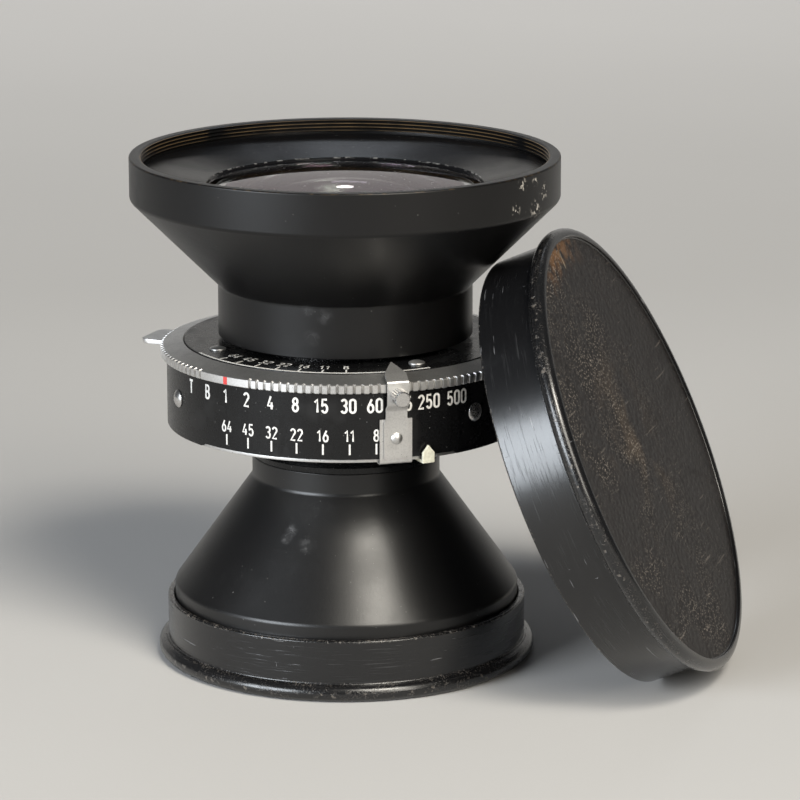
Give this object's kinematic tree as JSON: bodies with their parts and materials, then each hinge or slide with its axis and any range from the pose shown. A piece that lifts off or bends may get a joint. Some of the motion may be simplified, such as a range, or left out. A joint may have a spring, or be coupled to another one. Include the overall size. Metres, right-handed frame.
{
  "type": "view-camera lens in a leaf shutter",
  "caption": "Wide-angle view-camera lens with flared black barrels, a leaf shutter with speed ring, iris lever and scales, standing on its rear cap with its front cap leaning beside it.",
  "frame": {"origin": "on the optical axis, on the plane that the rear cap stands on", "axes": "+Z along the optical axis towards the front of the lens, -Y towards the side with the shutter scales"},
  "size_m": [0.101, 0.0853, 0.0834],
  "materials": {
    "black_anodised": "satin black anodised",
    "black_paint": "satin black enamel",
    "satin_chrome": "satin",
    "bright_steel": "polished",
    "brass": "satin",
    "blued_steel": "matt",
    "white_enamel": "satin",
    "coated_glass": "coated and polished",
    "black_plastic": "worn satin moulding"
  },
  "bodies": {
    "lens": {"shutter_case": "black_paint", "case_screws": "bright_steel", "partition_plate": "black_paint", "mechanism_plate": "satin_chrome", "main_spring": "bright_steel", "iris_pivots": "bright_steel", "blade_pivots": "bright_steel", "release_post": "bright_steel", "release_spring": "bright_steel", "cable_socket": "bright_steel", "flash_socket": "bright_steel", "flash_contact": "brass", "front_plate": "black_paint", "scale_plate": "black_paint", "scale_plate_screws": "bright_steel", "front_cell": "black_anodised", "front_barrel": "black_anodised", "name_ring": "black_anodised", "front_lens": "coated_glass", "front_doublet_outer": "coated_glass", "front_doublet_inner": "coated_glass", "front_doublet_ring": "black_anodised", "rear_barrel": "black_anodised", "rear_lens": "coated_glass", "rear_lens_ring": "black_anodised", "rear_doublet_outer": "coated_glass", "rear_doublet_inner": "coated_glass", "rear_doublet_ring": "black_anodised"},
    "aperture_control": {"iris_ring": "satin_chrome", "iris_control_pin": "bright_steel", "iris_cam_ring": "brass", "aperture_lever": "satin_chrome", "aperture_knob": "bright_steel", "aperture_rivet": "bright_steel", "aperture_pointer": "white_enamel"},
    "blade_drive": {"blade_ring": "brass", "blade_drive_pin": "bright_steel"},
    "speed_control": {"speed_ring": "satin_chrome", "speed_cam": "brass"},
    "cocking_lever": {"cocking_lever": "satin_chrome"},
    "release_lever": {"release_lever": "satin_chrome"},
    "sync_selector": {"sync_selector": "satin_chrome"},
    "rear_cap": {"rear_cap": "black_plastic"},
    "front_cap": {"front_cap": "black_plastic"},
    "iris_leaf_1": {"iris_leaf_1": "blued_steel"},
    "iris_leaf_2": {"iris_leaf_2": "blued_steel"},
    "iris_leaf_3": {"iris_leaf_3": "blued_steel"},
    "iris_leaf_4": {"iris_leaf_4": "blued_steel"},
    "iris_leaf_5": {"iris_leaf_5": "blued_steel"},
    "shutter_blade_1": {"shutter_blade_1": "blued_steel"},
    "shutter_blade_2": {"shutter_blade_2": "blued_steel"},
    "shutter_blade_3": {"shutter_blade_3": "blued_steel"},
    "shutter_blade_4": {"shutter_blade_4": "blued_steel"},
    "shutter_blade_5": {"shutter_blade_5": "blued_steel"}
  },
  "joints": [
    {"name": "aperture_turn", "type": "hinge", "parent": "lens", "child": "aperture_control", "pos_m": [0, 0, 0.0391], "axis": [0, 0, 1], "range_deg": [-66.3, 0]},
    {"name": "speed_turn", "type": "hinge", "parent": "lens", "child": "speed_control", "pos_m": [0, 0, 0.05056], "axis": [0, 0, 1], "range_deg": [-17, 77.5]},
    {"name": "blades_open", "type": "hinge", "parent": "lens", "child": "blade_drive", "pos_m": [0, 0, 0.04272], "axis": [0, 0, 1], "range_deg": [-24, 0]},
    {"name": "cocking_turn", "type": "hinge", "parent": "lens", "child": "cocking_lever", "pos_m": [0, 0, 0.04948], "axis": [0, 0, 1], "range_deg": [-35, 0], "stiffness_Nm_per_rad": 0.02, "springref_deg": 11.46},
    {"name": "release_press", "type": "hinge", "parent": "lens", "child": "release_lever", "pos_m": [0.01697, 0.01697, 0.04948], "axis": [0, 0, 1], "range_deg": [0, 8], "stiffness_Nm_per_rad": 0.004, "springref_deg": -11.46},
    {"name": "sync_shift", "type": "hinge", "parent": "lens", "child": "sync_selector", "pos_m": [0, 0, 0.0444], "axis": [0, 0, 1], "range_deg": [0, 14]},
    {"name": "rear_cap_pull", "type": "slide", "parent": "lens", "child": "rear_cap", "axis": [0, 0, -1], "range_m": [0, 0.012]},
    {"name": "front_cap_slide", "type": "slide", "parent": "lens", "child": "front_cap", "axis": [0.9603, -0.279, 0], "range_m": [0, 0.03]},
    {"name": "iris_leaf_1_swing", "type": "hinge", "parent": "lens", "child": "iris_leaf_1", "pos_m": [0.021, 0, 0.04046], "axis": [0, 0, 1], "range_deg": [0, 31.25]},
    {"name": "iris_leaf_2_swing", "type": "hinge", "parent": "lens", "child": "iris_leaf_2", "pos_m": [0.00649, 0.01997, 0.04046], "axis": [0, 0, 1], "range_deg": [0, 31.25]},
    {"name": "iris_leaf_3_swing", "type": "hinge", "parent": "lens", "child": "iris_leaf_3", "pos_m": [-0.01699, 0.01234, 0.04046], "axis": [0, 0, 1], "range_deg": [0, 31.25]},
    {"name": "iris_leaf_4_swing", "type": "hinge", "parent": "lens", "child": "iris_leaf_4", "pos_m": [-0.01699, -0.01234, 0.04046], "axis": [0, 0, 1], "range_deg": [0, 31.25]},
    {"name": "iris_leaf_5_swing", "type": "hinge", "parent": "lens", "child": "iris_leaf_5", "pos_m": [0.00649, -0.01997, 0.04046], "axis": [0, 0, 1], "range_deg": [0, 31.25]},
    {"name": "shutter_blade_1_swing", "type": "hinge", "parent": "lens", "child": "shutter_blade_1", "pos_m": [0.02, 0, 0.04272], "axis": [0, 0, 1], "range_deg": [-38.05, 0]},
    {"name": "shutter_blade_2_swing", "type": "hinge", "parent": "lens", "child": "shutter_blade_2", "pos_m": [0.00618, 0.01902, 0.04272], "axis": [0, 0, 1], "range_deg": [-38.05, 0]},
    {"name": "shutter_blade_3_swing", "type": "hinge", "parent": "lens", "child": "shutter_blade_3", "pos_m": [-0.01618, 0.01176, 0.04272], "axis": [0, 0, 1], "range_deg": [-38.05, 0]},
    {"name": "shutter_blade_4_swing", "type": "hinge", "parent": "lens", "child": "shutter_blade_4", "pos_m": [-0.01618, -0.01176, 0.04272], "axis": [0, 0, 1], "range_deg": [-38.05, 0]},
    {"name": "shutter_blade_5_swing", "type": "hinge", "parent": "lens", "child": "shutter_blade_5", "pos_m": [0.00618, -0.01902, 0.04272], "axis": [0, 0, 1], "range_deg": [-38.05, 0]}
  ],
  "couplings": [
    {"joint": "iris_leaf_1_swing", "follows": "aperture_turn", "ratio": -0.47059},
    {"joint": "iris_leaf_2_swing", "follows": "aperture_turn", "ratio": -0.47059},
    {"joint": "iris_leaf_3_swing", "follows": "aperture_turn", "ratio": -0.47059},
    {"joint": "iris_leaf_4_swing", "follows": "aperture_turn", "ratio": -0.47059},
    {"joint": "iris_leaf_5_swing", "follows": "aperture_turn", "ratio": -0.47059},
    {"joint": "shutter_blade_1_swing", "follows": "blades_open", "ratio": 1.5833},
    {"joint": "shutter_blade_2_swing", "follows": "blades_open", "ratio": 1.5833},
    {"joint": "shutter_blade_3_swing", "follows": "blades_open", "ratio": 1.5833},
    {"joint": "shutter_blade_4_swing", "follows": "blades_open", "ratio": 1.5833},
    {"joint": "shutter_blade_5_swing", "follows": "blades_open", "ratio": 1.5833}
  ]
}
